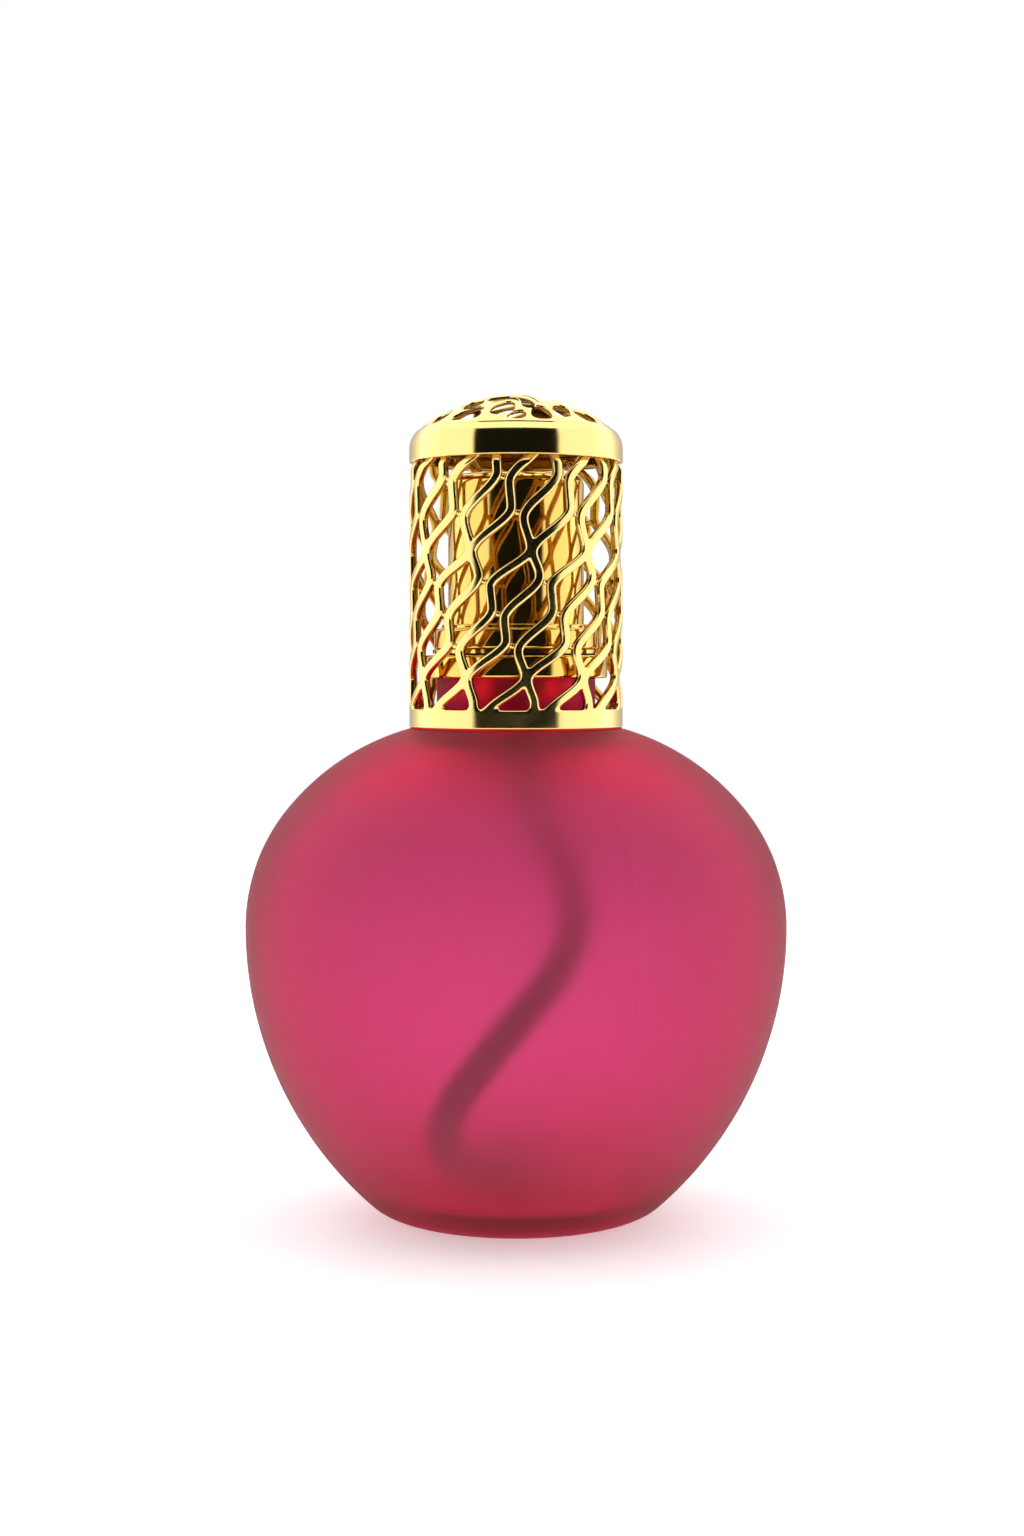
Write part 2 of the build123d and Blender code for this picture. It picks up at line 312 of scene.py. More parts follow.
def gold_look(name, color, low, high, centre=0.0, upright=0.0):
    """Bright plated brass with painted shade on the faces that turn inwards, and soft patches in the polish.
    """
    look = Look(name, color, low, metallic=1.0)
    patches = look.noise(260, 4.0)
    look.roughness(look.span(patches, low, high))
    facing = look.outward(centre, upright)
    uneven = look.span(look.noise(90, 3.0), -0.08, 0.08)
    # painted shade: faces that turn towards the axis, or towards the dome's centre, are darkened towards the
    # shade tone
    look.tint(look.added(facing, uneven), inner_shade_tone, color, 0.0, inner_shade_end)
    look.bump(look.noise(2200, 2.0), 0.000004, 0.5)
    return look.material


def glass_look():
    """Raspberry glass, coloured in its depth, etched outside and bright on the inner wall, with painted
    shade towards the foot and under the crown.
    """
    look = Look(
        "frosted_raspberry_glass",
        glass_tone,
        etched_roughness[0],
        Transmission_Weight=1 - glass_milk,
        IOR=glass_index,
        Specular_IOR_Level=glass_reflection,
    )
    inner = look.nodes.new("ShaderNodeAttribute")
    inner.attribute_name = inner_wall_attribute
    etched = look.span(look.noise(420, 4.0), *etched_roughness)
    blown = look.span(look.noise(300, 3.0), *inner_roughness)
    mix = look.nodes.new("ShaderNodeMix")
    look.links.new(inner.outputs["Fac"], mix.inputs["Factor"])
    look.links.new(etched, mix.inputs["A"])
    look.links.new(blown, mix.inputs["B"])
    look.roughness(mix.outputs["Result"])
    split = look.nodes.new("ShaderNodeSeparateXYZ")
    look.links.new(look.place, split.inputs[0])
    height = look.span(split.outputs["Z"], 0.0, 1.0, 0.0, glass_top)
    uneven = look.span(look.noise(70, 3.0), -0.012, 0.012)
    foot_low, foot_high, shoulder_low, shoulder_high = glass_tone_heights
    # painted shade: darker towards the foot and a deeper red on the shoulder under the crown
    stops = look.tint(look.added(height, uneven), glass_foot_shade_tone, glass_tone, foot_low, foot_high)
    stops.new(shoulder_low).color = (*glass_tone, 1)
    stops.new(shoulder_high).color = (*glass_shoulder_shade_tone, 1)
    look.bump(look.noise(2600, 3.0), 0.00002, 0.6)
    depth = look.nodes.new("ShaderNodeVolumeAbsorption")
    depth.inputs["Color"].default_value = (*glass_depth_tone, 1)
    depth.inputs["Density"].default_value = glass_depth
    look.links.new(depth.outputs[0], look.nodes["Material Output"].inputs["Volume"])
    return look.material


gold_tone = (0.95, 0.71, 0.26)
# painted shade: a darker copy of the gold tone for the parts that stand under and inside the crown
shaded_gold_tone = (0.88, 0.58, 0.14)
# painted shade: the tone that inward-facing gold is darkened to
inner_shade_tone = (0.5, 0.29, 0.05)
inner_shade_end = 0.55          # faces that turn outwards by more than this get no painted shade
polish = (0.07, 0.12)       # roughness from and to
cast_polish = (0.1, 0.16)
gold = gold_look("polished_gold", gold_tone, *polish)
cast_gold = gold_look("cast_gold", gold_tone, *cast_polish)
dome_centre = (dome_apex - dome_sphere) * MM
dome_gold = gold_look("dome_gold", gold_tone, *cast_polish, dome_centre, 1.0)
# painted shade: the same gold made darker for the snuffer, the neck ring and the parts inside the crown
shaded_gold = gold_look("shaded_gold", shaded_gold_tone, *polish)

glass_tone = (0.86, 0.54, 0.69)
# painted shade at the foot, where the lamp's own shadow lies on the floor
glass_foot_shade_tone = (0.82, 0.2, 0.36)
# painted shade on the shoulder, under the crown
glass_shoulder_shade_tone = (1.0, 0.3, 0.5)
glass_top = 0.08            # metres, from the foot to the crown's seat
glass_tone_heights = (0.01, 0.17, 0.84, 0.97)   # shares of that height where the painted shade of the foot and of the shoulder starts and ends
glass_depth_tone = (0.905, 0.0, 0.5)
glass_depth = 380.0         # absorption for each metre of glass
glass_index = 1.25
glass_reflection = 0.25
glass_milk = 0.05           # share of light that the etched skin scatters back
etched_roughness = (0.6, 0.68)
inner_roughness = (0.1, 0.16)
inner_wall_attribute = "inner_wall"
frosted_glass = glass_look()


def rubber_look():
    look = Look("gasket_rubber", (0.03, 0.03, 0.032), 0.7)
    look.tint(look.noise(900), (0.02, 0.02, 0.022), (0.05, 0.05, 0.05))
    look.bump(look.noise(3500, 4.0), 0.00003, 0.5)
    return look.material


def silicone_look():
    look = Look("seal_silicone", (0.75, 0.73, 0.68), 0.45, Subsurface_Weight=0.15, Subsurface_Scale=0.001)
    look.tint(look.noise(500), (0.72, 0.7, 0.64), (0.8, 0.78, 0.72))
    look.bump(look.noise(2500), 0.00002, 0.4)
    return look.material


def plastic_look():
    look = Look("liner_plastic", (0.7, 0.66, 0.58), 0.4)
    look.tint(look.noise(300), (0.68, 0.64, 0.56), (0.74, 0.7, 0.62))
    look.roughness(look.span(look.noise(900), 0.32, 0.48))
    look.bump(look.noise(1800), 0.00001, 0.4)
    return look.material


def stone_look():
    """Porous fired ceramic."""
    look = Look("burner_ceramic", (0.78, 0.75, 0.7), 0.85)
    look.tint(look.noise(700, 6.0), (0.66, 0.63, 0.58), (0.86, 0.84, 0.8))
    look.bump(look.pores(1600), 0.00012, 0.8)
    return look.material


def core_look():
    """Ceramic core darkened by its metal catalyst."""
    look = Look("core_ceramic", (0.3, 0.27, 0.25), 0.8)
    look.tint(look.noise(1500, 6.0), (0.2, 0.18, 0.17), (0.42, 0.38, 0.35))
    look.bump(look.pores(2100), 0.00012, 0.9)
    return look.material


def clamp_look():
    look = Look("clamp_metal", (0.7, 0.7, 0.7), 0.3, metallic=1.0)
    look.roughness(look.span(look.noise(500, 3.0, (1, 1, 12)), 0.25, 0.42))
    look.tint(look.noise(260), (0.66, 0.66, 0.67), (0.74, 0.73, 0.72))
    look.bump(look.noise(900, 2.0, (1, 1, 14)), 0.00001, 0.4)
    return look.material


def cotton_look():
    """Spun cotton: fibres along the strands, slightly uneven in tone."""
    look = Look("wick_cotton", (0.82, 0.77, 0.68), 0.9, Sheen_Weight=0.35)
    look.tint(look.noise(1400, 5.0), (0.46, 0.38, 0.28), (0.66, 0.58, 0.46))
    look.bump(look.noise(5200, 3.0, (1, 1, 0.35)), 0.00008, 0.7)
    return look.material


# ---------------------------------------------------------------- camera, light and floor
# The eye is level with the burner, on the front side. The lens and the downward shift frame
# the lamp as a tall picture.
eye_distance = 0.377
eye_height = 0.0912
eye_side = -0.00067
sensor = 36.0
lens = 53.0
picture_shift = -0.0699

camera_data = bpy.data.cameras.new("camera")
camera_data.sensor_width = sensor
camera_data.lens = lens
camera_data.shift_y = picture_shift
camera_data.clip_start = 0.01
camera_data.clip_end = 50
camera = bpy.data.objects.new("camera", camera_data)
camera.location = (eye_side, -eye_distance, eye_height)
camera.rotation_euler = (pi / 2, 0, 0)
bpy.context.scene.collection.objects.link(camera)
bpy.context.scene.camera = camera

dark_light = 0.008
brightest = 1.8             # no panel is brighter
light_round = [             # (degrees from the front, light) each way round the room
    (44.0, dark_light),
    (48.0, 1.3),
    (90.0, 1.35),
    (116.0, 1.75),
    (138.0, 0.85),
    (155.0, 0.55),
]
top_light = 1.5
overhead_edge = (60.0, 66.0)  # degrees above the horizon between which the overhead panel starts


def studio_world():
    """White room with soft panels at the sides and overhead, and an unlit front side."""
    world = bpy.data.worlds.new("studio")
    world.use_nodes = True
    tree = world.node_tree
    tree.nodes.clear()

    def math(operation, first, second=None):
        node = tree.nodes.new("ShaderNodeMath")
        node.operation = operation
        for socket, value in zip(node.inputs, (first, second)):
            if isinstance(value, (int, float)):
                socket.default_value = value
            elif value is not None:
                tree.links.new(value, socket)
        return node.outputs[0]

    def ramp(value, start, end, low, high):
        node = tree.nodes.new("ShaderNodeMapRange")
        node.interpolation_type = "SMOOTHSTEP"
        for socket, number in zip(("From Min", "From Max", "To Min", "To Max"), (start, end, low, high)):
            node.inputs[socket].default_value = number
        tree.links.new(value, node.inputs["Value"])
        return node.outputs["Result"]

    direction = tree.nodes.new("ShaderNodeTexCoord").outputs["Generated"]
    split = tree.nodes.new("ShaderNodeSeparateXYZ")
    tree.links.new(direction, split.inputs[0])
    # both angles are taken so that an upright bend in polished metal shows the panels' edges straight
    side = math("ABSOLUTE", split.outputs["X"])
    azimuth = math("MULTIPLY", math("ARCTAN2", side, math("SUBTRACT", 1.0, split.outputs["Y"])), 2.0)
    ahead = math("SUBTRACT", 1.0, math("MINIMUM", split.outputs["Y"], 0.0))
    flat = math("SQRT", math("ADD", math("MULTIPLY", side, side), math("MULTIPLY", ahead, ahead)))
    tilt = math("MULTIPLY", math("ARCTAN2", split.outputs["Z"], flat), 2.0)
    panels = tree.nodes.new("ShaderNodeValToRGB")
    tree.links.new(math("DIVIDE", azimuth, pi), panels.inputs["Fac"])
    bands = panels.color_ramp.elements
    for _ in range(len(light_round) - 2):
        bands.new(1.0)
    for element, (turn, light) in zip(bands, light_round):
        element.position = turn / 180
    for element, (turn, light) in zip(bands, light_round):
        element.color = (*[light / brightest] * 3, 1)
    low_part = math("MULTIPLY", panels.outputs["Color"], brightest)
    overhead = ramp(tilt, radians(overhead_edge[0]), radians(overhead_edge[1]), 0, top_light)
    glow = math("MAXIMUM", low_part, overhead)
    light = tree.nodes.new("ShaderNodeBackground")
    light.inputs["Color"].default_value = (1, 1, 1, 1)
    tree.links.new(glow, light.inputs["Strength"])
    seen = tree.nodes.new("ShaderNodeBackground")
    seen.inputs["Color"].default_value = (1, 1, 1, 1)
    pick = tree.nodes.new("ShaderNodeMixShader")
    tree.links.new(tree.nodes.new("ShaderNodeLightPath").outputs["Is Camera Ray"], pick.inputs[0])
    tree.links.new(light.outputs[0], pick.inputs[1])
    tree.links.new(seen.outputs[0], pick.inputs[2])
    output = tree.nodes.new("ShaderNodeOutputWorld")
    tree.links.new(pick.outputs[0], output.inputs["Surface"])
    bpy.context.scene.world = world


studio_world()

floor_radius = 650.0        # millimetres
floor_sides = 96
floor_glow = 0.42           # keeps the floor white right up to the lamp's own shadow
floor_look = Look("studio_floor", (0.86, 0.86, 0.86), 0.7)
floor_look.tint(floor_look.noise(8), (0.85, 0.85, 0.85), (0.87, 0.87, 0.87))
floor_look.shader.inputs["Emission Color"].default_value = (1, 1, 1, 1)
floor_look.shader.inputs["Emission Strength"].default_value = floor_glow
floor_mesh = bpy.data.meshes.new("floor")
floor_ring = [(floor_radius * MM * cos(t), floor_radius * MM * sin(t), 0) for t in even_columns(floor_sides)]
floor_mesh.from_pydata(floor_ring, [], [list(range(floor_sides))])
floor_mesh.materials.append(floor_look.material)
floor = bpy.data.objects.new("floor", floor_mesh)
bpy.context.scene.collection.objects.link(floor)

bpy.context.scene.view_settings.view_transform = "Standard"
bpy.context.scene.cycles.use_denoising = True

# ---------------------------------------------------------------- cotton wick
wick_route = [
    (0.0, 0.0, 0.093),
    (0.0, 0.0, 0.0715),
    (0.0085, -0.014, 0.058),
    (0.0098, -0.0305, 0.047),
    (-0.0035, -0.036, 0.0325),
    (-0.012, -0.030, 0.0205),
    (-0.0105, -0.0175, 0.0098),
    (0.0015, -0.005, 0.008),
]
plait_pairs = 8             # strands that turn each way
plait_radius = 2.13         # millimetres, to the middle of the plait
plait_weave = 0.27
strand_half_width = 0.62
strand_half_depth = 0.33
plait_turn = 0.31           # radians for each millimetre of wick
wick_core_radius = 1.85
wick_step = 0.45            # millimetres between points along the wick


def nurbs_line(route):
    """Points along the NURBS curve whose control points are the route."""
    curve = bpy.data.curves.new("wick_line", "CURVE")
    curve.dimensions = "3D"
    spline = curve.splines.new("NURBS")
    spline.points.add(len(route) - 1)
    for point, place in zip(spline.points, route):
        point.co = (*place, 1)
    spline.order_u = 3
    spline.use_endpoint_u = True
    spline.resolution_u = 40
    holder = bpy.data.objects.new("wick_line", curve)
    mesh = bpy.data.meshes.new_from_object(holder)
    line = np.array([vertex.co for vertex in mesh.vertices])
    bpy.data.objects.remove(holder)
    bpy.data.meshes.remove(mesh)
    bpy.data.curves.remove(curve)
    return line


def evenly(line, spacing):
    """The same line with evenly spaced points, and how far along it each one is."""
    steps = np.linalg.norm(np.diff(line, axis=0), axis=1)
    along = np.concatenate([[0], np.cumsum(steps)])
    places = np.linspace(0, along[-1], int(along[-1] / spacing) + 1)
    return np.stack([np.interp(places, along, line[:, axis]) for axis in range(3)], 1), places


def carried_frames(line):
    """Tangents and two side directions that don't twist along the line."""
    tangents = np.gradient(line, axis=0)
    tangents /= np.linalg.norm(tangents, axis=1)[:, None]
    side = np.cross(tangents[0], [0.0, 1.0, 0.0])
    sides = []
    for tangent in tangents:
        side = side - (side @ tangent) * tangent
        side = side / np.linalg.norm(side)
        sides.append(side)
    sides = np.array(sides)
    return tangents, sides, np.cross(tangents, sides)


def tube(centres, first, second, half_first, half_second, corners):
    """Closed tube of elliptical section along centres."""
    turns = even_columns(corners)
    rings = (
        centres[:, None]
        + first[:, None] * (half_first * np.cos(turns))[None, :, None]
        + second[:, None] * (half_second * np.sin(turns))[None, :, None]
    )
    points = rings.reshape(-1, 3)
    faces = []
    for row in range(len(centres) - 1):
        for corner in range(corners):
            after = (corner + 1) % corners
            low, high = row * corners, (row + 1) * corners
            faces.append((low + corner, high + corner, high + after, low + after))
    faces.append(tuple(range(corners)))
    faces.append(tuple(reversed([len(points) - corners + corner for corner in range(corners)])))
    return points, faces


def joined(parts):
    """One list of points and faces from several."""
    points, faces, start = [], [], 0
    for part_points, part_faces in parts:
        points.append(np.asarray(part_points, float))
        faces += [tuple(int(index) + start for index in face) for face in part_faces]
        start += len(part_points)
    return np.concatenate(points), faces


def make_wick():
    smooth_line, along = evenly(nurbs_line(wick_route) / MM, wick_step)
    tangents, right, up = carried_frames(smooth_line)
    parts = [tube(smooth_line, right, up, wick_core_radius, wick_core_radius, 20)]
    weave = plait_weave * np.cos(plait_pairs * plait_turn * along)
    for way in (1, -1):
        for strand in range(plait_pairs):
            turn = 2 * pi * strand / plait_pairs + way * plait_turn * along
            outward = right * np.cos(turn)[:, None] + up * np.sin(turn)[:, None]
            centres = smooth_line + outward * (plait_radius + way * weave)[:, None]
            run = np.gradient(centres, axis=0)
            run /= np.linalg.norm(run, axis=1)[:, None]
            across = np.cross(run, outward)
            across /= np.linalg.norm(across, axis=1)[:, None]
            parts.append(tube(centres, across, outward, strand_half_width, strand_half_depth, 10))
    points, faces = joined(parts)
    wick = add_piece(
        "braided_wick",
        points,
        faces,
        [cotton_look()],
        "burner",
        ["cotton_wick"],
        sharp=60,
    )


make_wick()

# ---------------------------------------------------------------- glass bottle
body_radius = 44.8
side_arc, side_turn = 61.0, 48.0
foot_arc = 8.0
shoulder_arc, shoulder_turn = 30.5, 39.0
crest_arc = 40.0
wall = 3.0
floor_height, floor_fillet = 5.0, 4.0
push_up_radius, push_up_depth = 14.5, 1.2
seat_height, spigot_radius, spigot_top = 80.0, 16.3, 81.0
neck_radius, neck_bore, neck_top = 13.2, 10.0, 91.0
neck_edge, neck_fillet, neck_lip = 0.3, 1.2, 0.5
bore_bottom = 88.0          # the straight bore ends here and the shoulder's inner arc starts
seam_turns = (24.0, 204.0)  # the mould's parting line, in degrees from the front
seam_height = 0.07
seam_half_width = 0.5
seam_start = 15.0           # the seams fade out inside this radius


def bottle_outline():
    """The glass from the middle of the foot, up the outside, and down the inside to the floor."""
    turn, lift = radians(side_turn), radians(shoulder_turn)
    widest = side_arc * sin(turn) + foot_arc * (1 - sin(turn))
    flank = (body_radius - side_arc, widest)
    foot = (flank[0] + (side_arc - foot_arc) * cos(turn), flank[1] - (side_arc - foot_arc) * sin(turn))
    shoulder = (body_radius - shoulder_arc, widest)
    shift = shoulder_arc - crest_arc
    crest = (shoulder[0] + shift * cos(lift), shoulder[1] + shift * sin(lift))
    crest_end = degrees(asin((seat_height - crest[1]) / crest_arc))
    push_up = (push_up_radius**2 + push_up_depth**2) / (2 * push_up_depth)
    push_up_turn = degrees(asin(push_up_radius / push_up))
    outside = arc((0, push_up_depth - push_up), push_up, 90, 90 - push_up_turn, 10)
    outside += arc(foot, foot_arc, -90, -side_turn, 12)
    outside += arc(flank, side_arc, -side_turn, 0, 48)[1:]
    outside += arc(shoulder, shoulder_arc, 0, shoulder_turn, 26)[1:]
    outside += arc(crest, crest_arc, shoulder_turn, crest_end, 24)[1:]
    step = rounded([
        outside[-1],
        (spigot_radius, seat_height),
        (spigot_radius, spigot_top, neck_edge),
        (neck_radius, spigot_top, neck_fillet),
        (neck_radius, neck_top, neck_edge),
        (neck_bore, neck_top, neck_lip),
        (neck_bore, bore_bottom),
    ])[1:]
    bore_turn = degrees(np.arccos((neck_bore - crest[0]) / (crest_arc - wall)))
    inner_floor = side_arc - wall - floor_fillet
    rise = flank[1] - floor_height - floor_fillet
    fillet_turn = degrees(asin(rise / inner_floor))
    fillet_centre = (flank[0] + sqrt(inner_floor**2 - rise**2), floor_height + floor_fillet)
    inside = arc(crest, crest_arc - wall, bore_turn, shoulder_turn, 24)
    inside += arc(shoulder, shoulder_arc - wall, shoulder_turn, 0, 26)[1:]
    inside += arc(flank, side_arc - wall, 0, -fillet_turn, 40)[1:]
    inside += arc(fillet_centre, floor_fillet, -fillet_turn, -90, 10)[1:]
    inside += [(12.0, floor_height), (0.0, floor_height)]
    return outside + step + inside, len(outside) + len(step)


def make_bottle():
    outline, outer_count = bottle_outline()
    near_seams = [radians(seam + shift) for seam in seam_turns for shift in np.linspace(-1.4, 1.4, 15)]
    columns = np.array(sorted(set(even_columns(240)) | set(near_seams)))
    points, faces = lathe(outline, columns, closed=False)
    turn = np.arctan2(points[:, 0], -points[:, 1])
    reach = np.hypot(points[:, 0], points[:, 1])
    outside = (reach > seam_start) & (points[:, 2] < seat_height)
    for seam in seam_turns:
        away = np.angle(np.exp(1j * (turn - radians(seam)))) * reach
        ridge = seam_height * np.exp(-((away / seam_half_width) ** 2)) * outside
        points[:, :2] *= (1 + ridge / np.maximum(reach, 1))[:, None]
    bottle = add_piece(
        "frosted_bottle",
        points,
        faces,
        [frosted_glass],
        "bottle",
        ["glass_bottle"],
    )
    # the inner wall, from the rounding of the neck's lip down, is marked for its smoother glass
    rows = len(outline) - 2
    lip_points = 9
    inner = np.zeros(len(bottle.data.vertices), np.float32)
    inner[: rows * len(columns)].reshape(len(columns), rows)[:, outer_count - lip_points :] = 1
    marks = bottle.data.attributes.new(inner_wall_attribute, "FLOAT", "POINT")
    marks.data.foreach_set("value", inner)


make_bottle()

# ---------------------------------------------------------------- crown
lattice_middle = 17.15
lattice_half_depth = 0.6
bar_half_width = 0.76
bar_rounding = 0.35
row_heights = [83.1, 88.3, 93.5, 98.6, 103.8, 108.8, 114.8, 120.5, 126.0]
wide_rows = (1, 5)          # rows whose bars melt together instead of just meeting
cells_round = 11
row_turn = 7.5              # degrees that a node moves to the right for each row down
wide_row_turn = 5.4         # place of a node in the lowest wide row
kiss_offset = 0.98
wide_offset = 0.2
kiss_lag = 0.9              # a bar turns that much above or below the middle of the node
wide_lag = 0.3
bridge_half_height = 0.42   # set-back web between two bars that meet
bridge_set_back = 0.38
bridge_half_depth, bridge_rounding = 0.38, 0.25
bar_melt, band_melt, bridge_melt = 0.55, 0.9, 0.3   # how far two shapes run into each other
bars_top = 125.6
base_band_bottom, base_band_top = 80.0, 83.3
rim_band = (16.1, 16.95, 124.3, 126.3)
rim_rounding = 0.2
tuck_start = 122.6          # the bars bend inwards behind the top band from here
tuck_depth = 0.7
net_step, net_depth_step = 0.2, 0.17
net_heights, net_reaches = (79.4, 126.9), (15.7, 18.4)
line_heights, line_step = (82.0, 126.6), 0.07


def node_turns(kind):
    """Angle of the node on each row that a bar of one family passes, in degrees."""
    pitch = 360 / cells_round
    turns = [0.0]
    for row in range(len(row_heights) - 1):
        rises_left = (row + kind) % 2 == 0
        turns.append(turns[-1] + (-row_turn if rises_left else pitch - row_turn))
    return np.array(turns) + wide_row_turn - turns[wide_rows[0]]


def strand_turn(height, kind):
    """Angle of one bar's middle line, in degrees, at each height. kind 0 or 1 picks the family."""
    levels, offsets = [], []
    for row, level in enumerate(row_heights):
        wide = row in wide_rows
        side = -1 if (row + kind) % 2 == 0 else 1
        levels.append(level - side * (wide_lag if wide else kiss_lag))
        offsets.append(side * degrees((wide_offset if wide else kiss_offset) / lattice_middle))
    levels = np.array(levels)
    line = node_turns(kind) + np.array(offsets)
    row = np.clip(np.searchsorted(levels, height) - 1, 0, len(levels) - 2)
    share = (height - levels[row]) / (levels[row + 1] - levels[row])
    return line[row] + (line[row + 1] - line[row]) * smooth_step(share)


def box_field(reach, height, box, rounding):
    """Field of a turned ring of rectangular section (inner, outer, bottom, top) with round edges."""
    inner, outer, bottom, top = box
    a = np.abs(reach - (inner + outer) / 2) - (outer - inner) / 2 + rounding
    b = np.abs(height - (bottom + top) / 2) - (top - bottom) / 2 + rounding
    return np.minimum(np.maximum(a, b), 0) + np.hypot(np.maximum(a, 0), np.maximum(b, 0)) - rounding


def make_lattice():
    """Base band, wavy bars and rim as one casting, from a distance field on the unrolled wall."""
    pitch = 360 / cells_round
    columns = round(radians(pitch) * lattice_middle / net_step)
    turns = np.arange(columns) * pitch / columns
    heights = np.arange(*net_heights, net_step)
    reaches = np.arange(*net_reaches, net_depth_step)
    flat_turn, flat_height = np.meshgrid(turns, heights, indexing="ij")
    samples = np.arange(*line_heights, line_step)
    distance = np.full(flat_turn.shape, 99.0)
    for kind in (0, 1):
        line = strand_turn(samples, kind)
        for copy in range(cells_round):
            across = (line + copy * pitch + 180) % 360 - 180
            near = (across > -pitch) & (across < 2 * pitch)
            if not near.any():
                continue
            gap_x = (flat_turn[..., None] - across[near]) * radians(1) * lattice_middle
            gap_z = flat_height[..., None] - samples[near]
            own = np.sqrt((gap_x**2 + gap_z**2).min(-1)) - bar_half_width
            distance = blended(distance, own, bar_melt)
    distance = blended(distance, flat_height - base_band_top, band_melt)
    distance = np.maximum(distance, base_band_bottom - flat_height)
    web = np.full(flat_turn.shape, 99.0)
    for row, level in enumerate(row_heights):
        if row in wide_rows:
            continue
        across = (flat_turn - node_turns(0)[row] + pitch / 2) % pitch - pitch / 2
        sideways = np.maximum(np.abs(across) * radians(1) * lattice_middle - kiss_offset, 0)
        web = np.minimum(web, np.hypot(sideways, flat_height - level) - bridge_half_height)
    reach = reaches[None, None, :]
    height = heights[None, :, None]
    tuck = tuck_depth * smooth_step((height - tuck_start) / (rim_band[2] - tuck_start))
    bars = slab(distance[..., None], reach - lattice_middle + tuck, lattice_half_depth, bar_rounding)
    web_depth = reach - lattice_middle + bridge_set_back + tuck
    webs = slab(web[..., None], web_depth, bridge_half_depth, bridge_rounding)
    bars = np.maximum(blended(bars, webs, bridge_melt), height - bars_top)
    field = np.minimum(bars, box_field(reach, height, rim_band, rim_rounding))
    cells, quads = surface_net(field, cells_round)
    turn = np.radians(cells[:, 0] * pitch / columns)
    out = reaches[0] + cells[:, 2] * net_depth_step
    up = heights[0] + cells[:, 1] * net_step
    points = np.stack([out * np.sin(turn), -out * np.cos(turn), up], 1)
    add_piece("crown_lattice", points, quads, [cast_gold], "crown", ["crown_sleeve"], 80)


make_lattice()

band_outer, band_wall, band_bottom = 17.8, 0.8, 124.1
band_arc, band_arc_height = 4.2, 126.3
band_opening = 16.5
band_opening_slant = 0.45   # the opening is that much narrower inside


def make_top_band():
    """Plain band that rolls over towards the dome."""
    arc_centre = (band_outer - band_arc, band_arc_height)
    inner_arc = band_arc - band_wall
    outer_end = degrees(np.arccos((band_opening - arc_centre[0]) / band_arc))
    inner_end = degrees(np.arccos((band_opening - band_opening_slant - arc_centre[0]) / inner_arc))
    outline = rounded([
        (band_outer - band_wall, band_bottom, 0.15),
        (band_outer, band_bottom, 0.22),
        (band_outer, band_arc_height - 0.6),
    ])
    outline += arc(arc_centre, band_arc, 0, outer_end, 16)
    outline += arc(arc_centre, inner_arc, inner_end, 0, 8)
    points, faces = lathe(outline, even_columns(288))
    add_piece("top_band", points, faces, [gold], "crown", ["crown_top_band"])


make_top_band()

dome_half_depth, dome_rounding = 0.42, 0.38
dome_step, dome_depth_step = 0.2, 0.17
dome_repeats = 3            # the pierced pattern repeats three times round
opening_spread = 0.45       # each opening is cut this far outside its outline
corner_share = 0.22
skirt_inner, skirt_outer, skirt_bottom = 15.3, 16.0, 128.0
skirt_outer_top, skirt_inner_top = 129.2, 129.5
# Each opening is a closed outline of points (radius, turn in degrees) seen from above.
dome_openings = [
    [(15, -70), (13.5, -73), (12.5, -67), (13, -57), (15, -56)],
    [(12, -44), (8.5, -69), (7.5, -66), (7.5, -49), (10.5, -34), (11.5, -38)],
    [(15, -45), (13.5, -41), (12.5, -36), (11.5, -29), (13, -27), (15, -26)],
    [
        (5.5, -58), (4.5, -48), (3, -16), (6, 12), (10, 16), (12, 11),
        (11.5, 7), (8.5, 9), (6, 0), (8, -15), (9, -25),
    ],
    [(13.5, -17), (11.5, -17), (10.5, -12), (9.5, -5), (11.5, -3), (13.5, -4), (14, -11)],
    [(15, -5), (14, -1), (13.5, 5), (15, 4)],
    [(15, 11), (12.5, 14), (11.5, 18), (12.5, 23), (15, 22)],
    [(14.5, 27), (11.5, 34), (10.5, 42), (11, 46), (12, 44), (14, 37)],
]


def rounded_outline(outline):
    """Points (x, y) of a closed outline of (radius, turn) with its corners cut smooth."""
    points = np.array([(reach * sin(radians(turn)), -reach * cos(radians(turn))) for reach, turn in outline])
    for _ in range(3):
        following = np.roll(points, -1, 0)
        near = points * (1 - corner_share) + following * corner_share
        far = points * corner_share + following * (1 - corner_share)
        points = np.stack([near, far], 1).reshape(-1, 2)
    return points


def outline_distance(x, y, outline):
    """Distance to a closed outline, negative inside."""
    nearest = np.full(x.shape, 99.0)
    inside = np.zeros(x.shape, bool)
    for (ax, ay), (bx, by) in zip(outline, np.roll(outline, -1, 0)):
        run_x, run_y = bx - ax, by - ay
        along = np.clip(((x - ax) * run_x + (y - ay) * run_y) / (run_x**2 + run_y**2), 0, 1)
        nearest = np.minimum(nearest, np.hypot(x - ax - along * run_x, y - ay - along * run_y))
        if run_y != 0:
            crosses = (ay > y) != (by > y)
            inside ^= crosses & (x < run_x * (y - ay) / run_y + ax)
    return np.where(inside, -nearest, nearest)


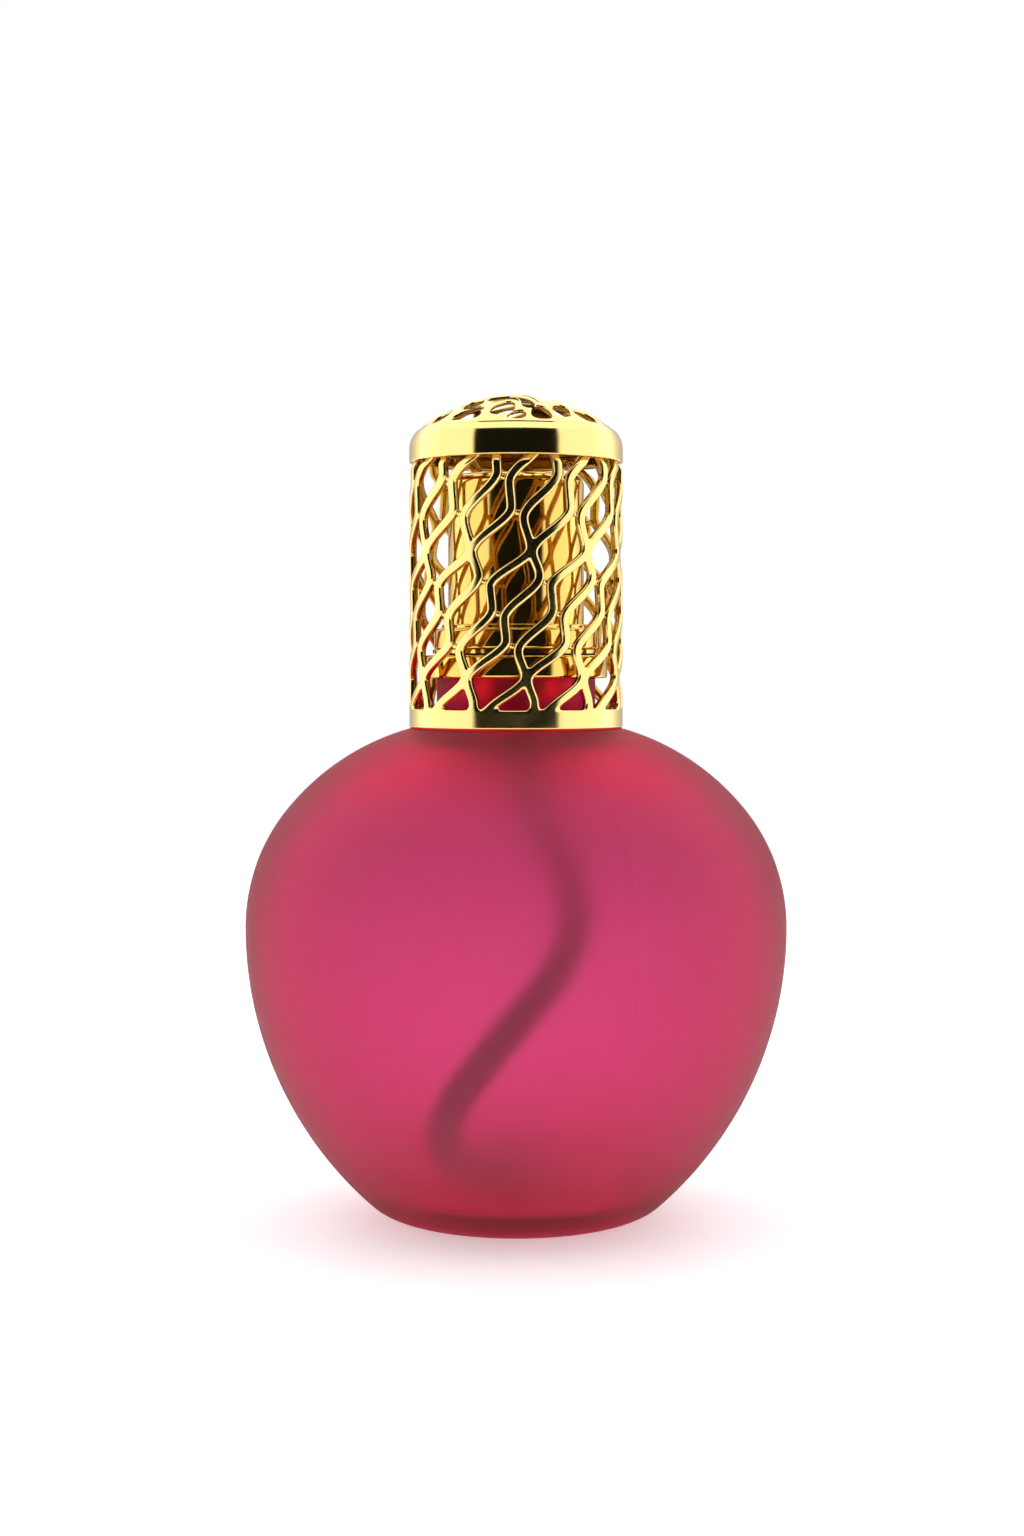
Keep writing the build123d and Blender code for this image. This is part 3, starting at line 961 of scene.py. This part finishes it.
def make_dome():
    """Pierced sheet drawn flat in plan and laid on a sphere, with a skirt that stands in the band."""
    line = np.arange(-17.0, 17.01, dome_step)
    depths = np.arange(-1.0, 1.01, dome_depth_step)
    x, y = np.meshgrid(line, line, indexing="ij")
    opening = np.full(x.shape, 99.0)
    for copy in range(dome_repeats):
        for outline in dome_openings:
            turned = [(reach, turn + 360 / dome_repeats * copy) for reach, turn in outline]
            own = outline_distance(x, y, rounded_outline(turned)) - opening_spread
            opening = np.minimum(opening, own)
    distance = np.maximum(-opening, np.hypot(x, y) - dome_edge)
    field = slab(distance[..., None], depths[None, None, :], dome_half_depth, dome_rounding)
    cells, quads = surface_net(field)
    flat_x = line[0] + cells[:, 0] * dome_step
    flat_y = line[0] + cells[:, 1] * dome_step
    depth = depths[0] + cells[:, 2] * dome_depth_step
    middle = dome_sphere - dome_half_depth
    rise = np.sqrt(dome_sphere**2 - flat_x**2 - flat_y**2)
    scale = (middle + depth) / dome_sphere
    centre = dome_apex - dome_sphere
    points = np.stack([flat_x * scale, flat_y * scale, centre + rise * scale], 1)
    skirt_outline = rounded([
        (skirt_inner, skirt_bottom, 0.1),
        (skirt_outer, skirt_bottom, 0.1),
        (skirt_outer, skirt_outer_top),
        (skirt_inner, skirt_inner_top),
    ])
    skirt, skirt_faces = lathe(skirt_outline, even_columns(180))
    points, quads = joined([(points, quads), (skirt, skirt_faces)])
    add_piece("pierced_dome", points, quads, [dome_gold], "crown", ["crown_dome"], 80)


make_dome()

# ---------------------------------------------------------------- snuffer and collar
snuffer_radius, snuffer_top, snuffer_wall = 11.3, 122.0, 0.6
snuffer_bore = snuffer_radius - snuffer_wall
snuffer_bottom, snuffer_edge = 94.5, 1.6
snuffer_inner_bottom, snuffer_inner_edge = 94.8, 1.0
cap_flat = 4.0              # ring of points that keeps the flat top's shading even
foot_bottom, foot_top, foot_radius, foot_edge = 93.0, 96.5, 13.65, 0.5
bead_radius, bead_top, bead_edge = 12.4, 97.2, 0.3
seal_groove = (11.5, 13.0, 93.8)    # inner and outer radius, and its roof
collar_inner, collar_outer, collar_edge = 13.25, 15.2, 0.5
collar_bottom, collar_top = 88.3, 92.1
collar_bore, collar_ledge = 10.0, 91.0


def make_snuffer():
    """Straight cap with a rolled top edge, and the turned ring that it stands in."""
    shell = rounded([
        (snuffer_bore, snuffer_bottom, 0.1),
        (snuffer_radius, snuffer_bottom, 0.1),
        (snuffer_radius, snuffer_top, snuffer_edge),
        (cap_flat, snuffer_top),
        (0.0, snuffer_top),
    ], steps=8)
    inner_top = snuffer_top - snuffer_wall
    inner = rounded([
        (0.0, inner_top),
        (cap_flat, inner_top),
        (snuffer_bore, inner_top, snuffer_inner_edge),
        (snuffer_bore, snuffer_inner_bottom),
    ])
    points, faces = lathe(inner + shell, even_columns(200), closed=False)
    add_piece("snuffer_cap", points, faces, [shaded_gold], "snuffer", ["snuffer_shell"])
    groove_inner, groove_outer, groove_roof = seal_groove
    foot = rounded([
        (snuffer_bore, foot_bottom),
        (groove_inner, foot_bottom),
        (groove_inner, groove_roof),
        (groove_outer, groove_roof),
        (groove_outer, foot_bottom),
        (foot_radius, foot_bottom, foot_edge),
        (foot_radius, foot_top, foot_edge),
        (bead_radius, foot_top, 0.12),
        (bead_radius, bead_top, bead_edge),
        (snuffer_radius, bead_top),
        (snuffer_radius, snuffer_bottom),
        (snuffer_bore, snuffer_bottom),
    ])
    points, faces = lathe(foot, even_columns(220))
    add_piece("snuffer_foot", points, faces, [shaded_gold], "snuffer", ["snuffer_base_ring"])


def make_collar():
    outline = rounded([
        (collar_inner, collar_bottom),
        (collar_outer, collar_bottom, collar_edge),
        (collar_outer, collar_top, collar_edge),
        (collar_bore, collar_top, 0.2),
        (collar_bore, collar_ledge),
        (collar_inner, collar_ledge),
    ])
    points, faces = lathe(outline, even_columns(220))
    add_piece("neck_ring", points, faces, [shaded_gold], "bottle", ["neck_collar"])


make_snuffer()
make_collar()

# ---------------------------------------------------------------- CAD pieces that stay
carried = {
    "neck_gasket": rubber_look(),
    "burner_mount": shaded_gold,
    "burner_stone": stone_look(),
    "catalyst_core": core_look(),
    "wick_clamp": clamp_look(),
    "snuffer_liner": plastic_look(),
    "snuffer_seal": silicone_look(),
    "dome_retainer": shaded_gold,
}
for node_name, material in carried.items():
    for node_slot in nodes[node_name].material_slots:
        node_slot.material = material
